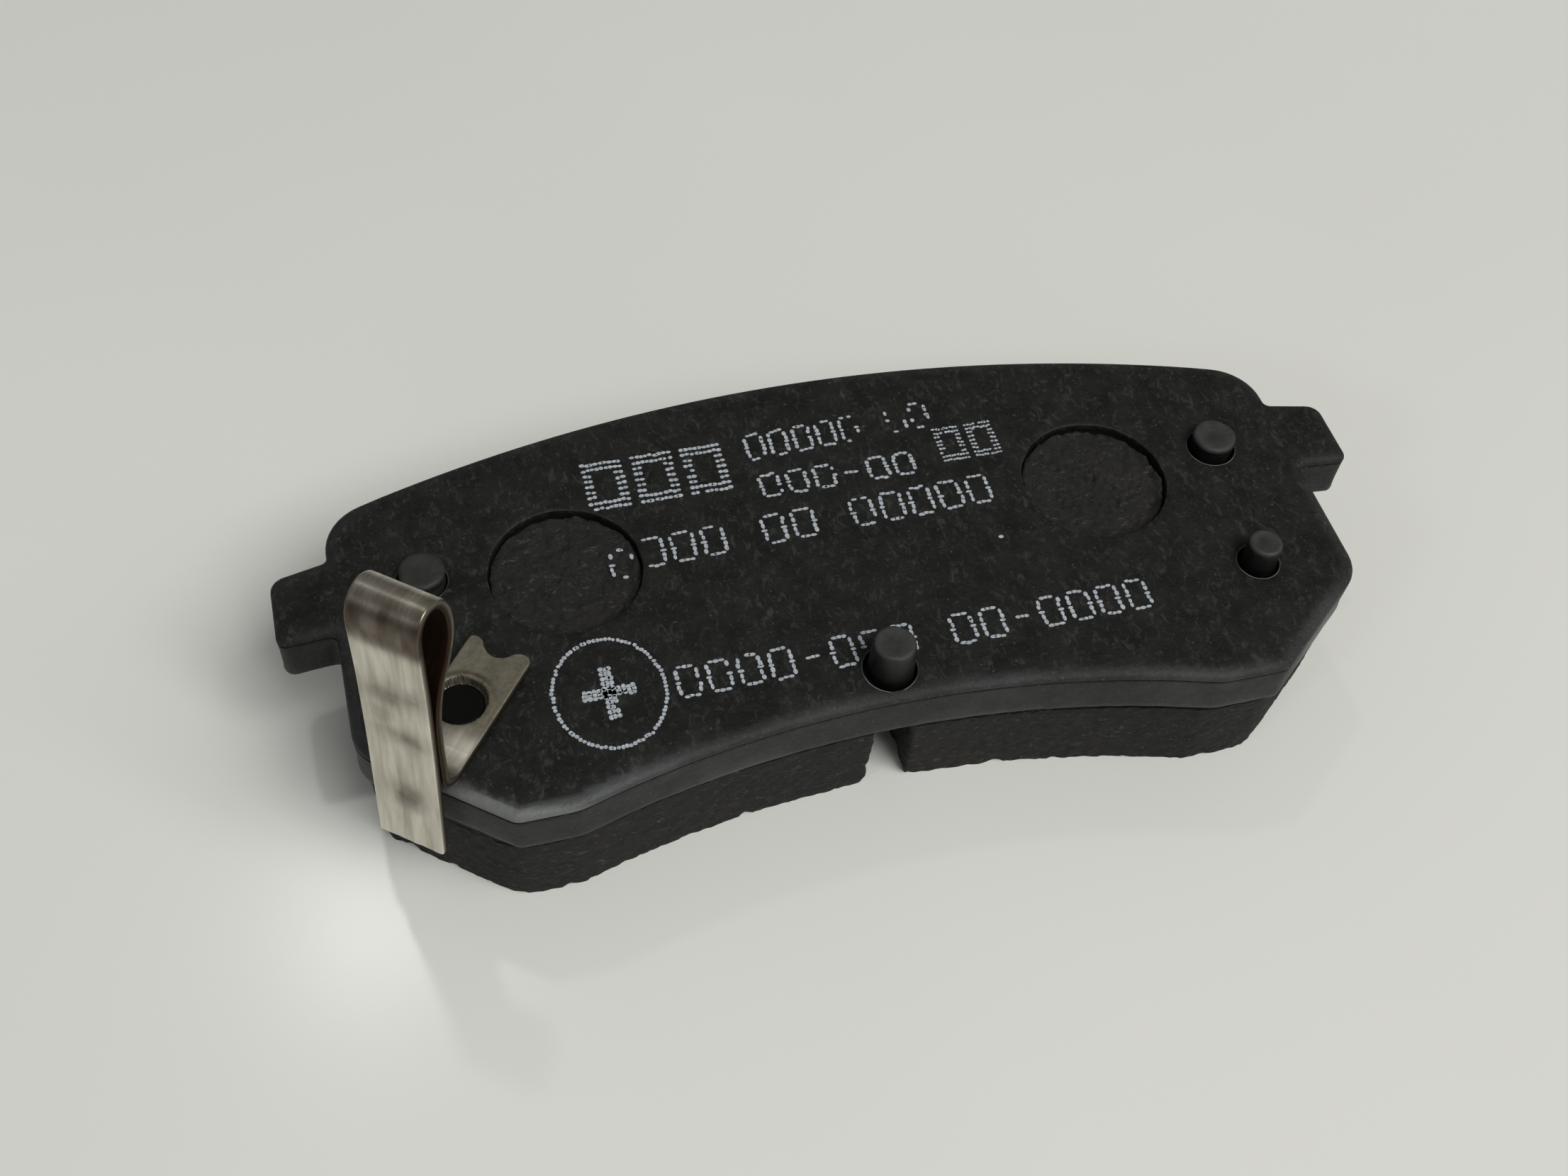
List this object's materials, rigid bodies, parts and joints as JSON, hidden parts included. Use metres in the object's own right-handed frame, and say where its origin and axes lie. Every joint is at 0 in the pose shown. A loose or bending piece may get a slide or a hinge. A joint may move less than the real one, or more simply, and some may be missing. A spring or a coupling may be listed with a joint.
{
  "type": "disc brake pad",
  "caption": "Rear disc brake pad: eared steel backing plate with locating pins, slotted friction lining on a plugged underlayer, and a riveted hairpin wear indicator.",
  "frame": {"origin": "middle of the pad's outline, on its friction face, where it meets the disc", "axes": "+X along the pad, +Y to its longer convex edge, +Z out of the back of the steel plate, away from the disc"},
  "size_m": [0.1002, 0.0418, 0.0385],
  "materials": {
    "coated_steel": "matte black powder coat, fine texture",
    "pin_steel": "matte black coat over steel, worn thin at the edges",
    "friction": "rough ground resin composite, speckled",
    "underlayer": "rough pressed resin composite",
    "spring_steel": "bare brushed spring steel, slightly tarnished"
  },
  "bodies": {
    "root": {"backing_plate": "coated_steel", "underlayer": "underlayer", "friction_block_left": "friction", "friction_block_right": "friction", "piston_pin": "pin_steel", "shim_pin_left": "pin_steel", "shim_pin_right": "pin_steel", "rivet_pin_right": "pin_steel", "indicator_rivet": "pin_steel", "wear_indicator": "spring_steel"}
  },
  "joints": []
}
